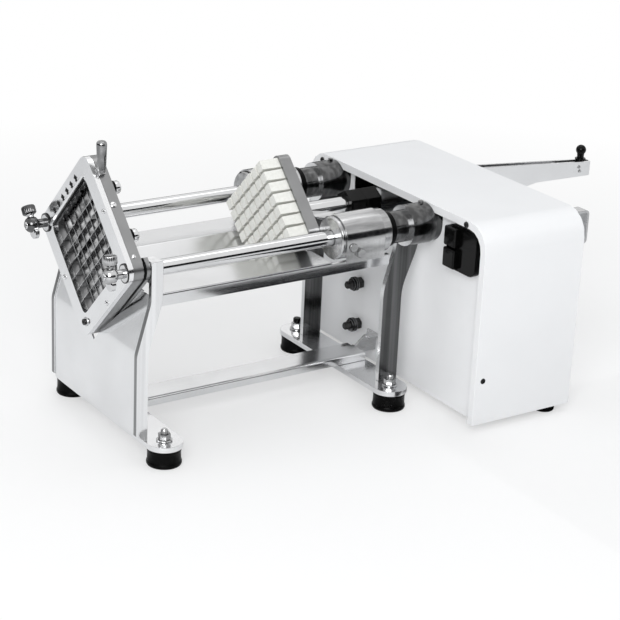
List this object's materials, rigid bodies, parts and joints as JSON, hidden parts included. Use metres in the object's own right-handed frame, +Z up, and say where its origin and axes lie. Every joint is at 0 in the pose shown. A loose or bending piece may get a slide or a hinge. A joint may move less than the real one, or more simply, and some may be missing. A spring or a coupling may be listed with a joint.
{
  "type": "french fry cutter",
  "caption": "Horizontal electric french fry cutter: a rack-driven pusher slides on guide rods into a square blade grid set on its corner, drawn from a boxed motor housing.",
  "frame": {"origin": "on the surface that it stands on, under the middle of the whole part's reach in X and Y", "axes": "+X from the blade square towards the motor housing, along the ram's travel; +Y away from the side that has the switch; +Z up"},
  "size_m": [0.7582, 0.342, 0.334],
  "materials": {
    "mirror_steel": "mirror-polished stainless steel",
    "brushed_steel": "satin brushed stainless steel",
    "cover_steel": "pale fine-brushed stainless sheet",
    "black_rubber": "matt black rubber",
    "black_plastic": "glossy black moulded plastic",
    "white_nylon": "off-white food-grade plastic",
    "drive_metal": "dark oiled machine metal"
  },
  "bodies": {
    "stand": {"front_foot_plate": "mirror_steel", "rear_foot_plate": "mirror_steel", "front_panel": "mirror_steel", "front_leg_near": "mirror_steel", "front_leg_far": "mirror_steel", "rear_leg_near": "mirror_steel", "rear_leg_far": "mirror_steel", "blade_clamp_frame": "mirror_steel", "blade_grid": "mirror_steel", "frame_handle": "mirror_steel", "guide_rod_near": "mirror_steel", "guide_rod_far": "mirror_steel", "trough_rail_near": "mirror_steel", "trough_rail_far": "mirror_steel", "cover_tube_near": "mirror_steel", "cover_tube_far": "mirror_steel", "housing_front_panel": "mirror_steel", "stretcher_bar": "brushed_steel", "stand_bracket": "brushed_steel", "mount_frame": "brushed_steel", "blade_cassette": "brushed_steel", "feed_trough": "brushed_steel", "frame_bolt_upper": "brushed_steel", "frame_bolt_lower": "brushed_steel", "rear_strap": "brushed_steel", "panel_bolt_upper": "brushed_steel", "panel_bolt_lower": "brushed_steel", "housing_cover": "cover_steel", "housing_chassis": "cover_steel", "frame_seal": "black_rubber", "rod_buffer_near": "black_rubber", "rod_buffer_far": "black_rubber", "foot_front_near": "black_rubber", "foot_front_far": "black_rubber", "foot_rear_near": "black_rubber", "foot_rear_far": "black_rubber", "housing_foot_near": "black_rubber", "housing_foot_far": "black_rubber", "switch_box": "black_plastic", "cable_gland": "black_plastic", "drive_motor": "drive_metal", "gearbox": "drive_metal"},
    "ram": {"guide_sleeve_near": "mirror_steel", "guide_sleeve_far": "mirror_steel", "saddle_near": "mirror_steel", "saddle_far": "mirror_steel", "pusher_plate": "mirror_steel", "pusher_block": "white_nylon", "push_rod": "mirror_steel", "rod_lock_nut_front": "black_plastic", "rod_lock_nut_rear": "black_plastic", "ram_block": "brushed_steel", "drive_rack": "drive_metal", "pull_arm": "mirror_steel", "arm_knob": "black_plastic"},
    "gear": {"drive_gear": "drive_metal"},
    "nut_near": {"wing_nut_near": "brushed_steel"},
    "nut_far": {"wing_nut_far": "brushed_steel"},
    "start": {"start_button": "black_plastic"},
    "return": {"return_button": "black_plastic"}
  },
  "joints": [
    {"name": "ram_slide", "type": "slide", "parent": "stand", "child": "ram", "axis": [-1, 0, 0], "range_m": [0, 0.207]},
    {"name": "drive_gear_spin", "type": "hinge", "parent": "stand", "child": "gear", "pos_m": [0.1121, 0.069, 0.172], "axis": [0, -1, 0], "range_deg": [0, 595]},
    {"name": "wing_nut_near_turn", "type": "hinge", "parent": "stand", "child": "nut_near", "pos_m": [-0.3701, -0.061, 0.214], "axis": [1, 0, 0], "continuous": true},
    {"name": "wing_nut_far_turn", "type": "hinge", "parent": "stand", "child": "nut_far", "pos_m": [-0.3701, 0.119, 0.214], "axis": [1, 0, 0], "continuous": true},
    {"name": "start_press", "type": "slide", "parent": "stand", "child": "start", "axis": [1, 0, 0], "range_m": [0, 0.003], "stiffness_N_per_m": 400, "springref_m": -0.001},
    {"name": "return_press", "type": "slide", "parent": "stand", "child": "return", "axis": [1, 0, 0], "range_m": [0, 0.003], "stiffness_N_per_m": 400, "springref_m": -0.001}
  ],
  "couplings": [
    {"joint": "drive_gear_spin", "follows": "ram_slide", "rad_per_m": 50}
  ]
}
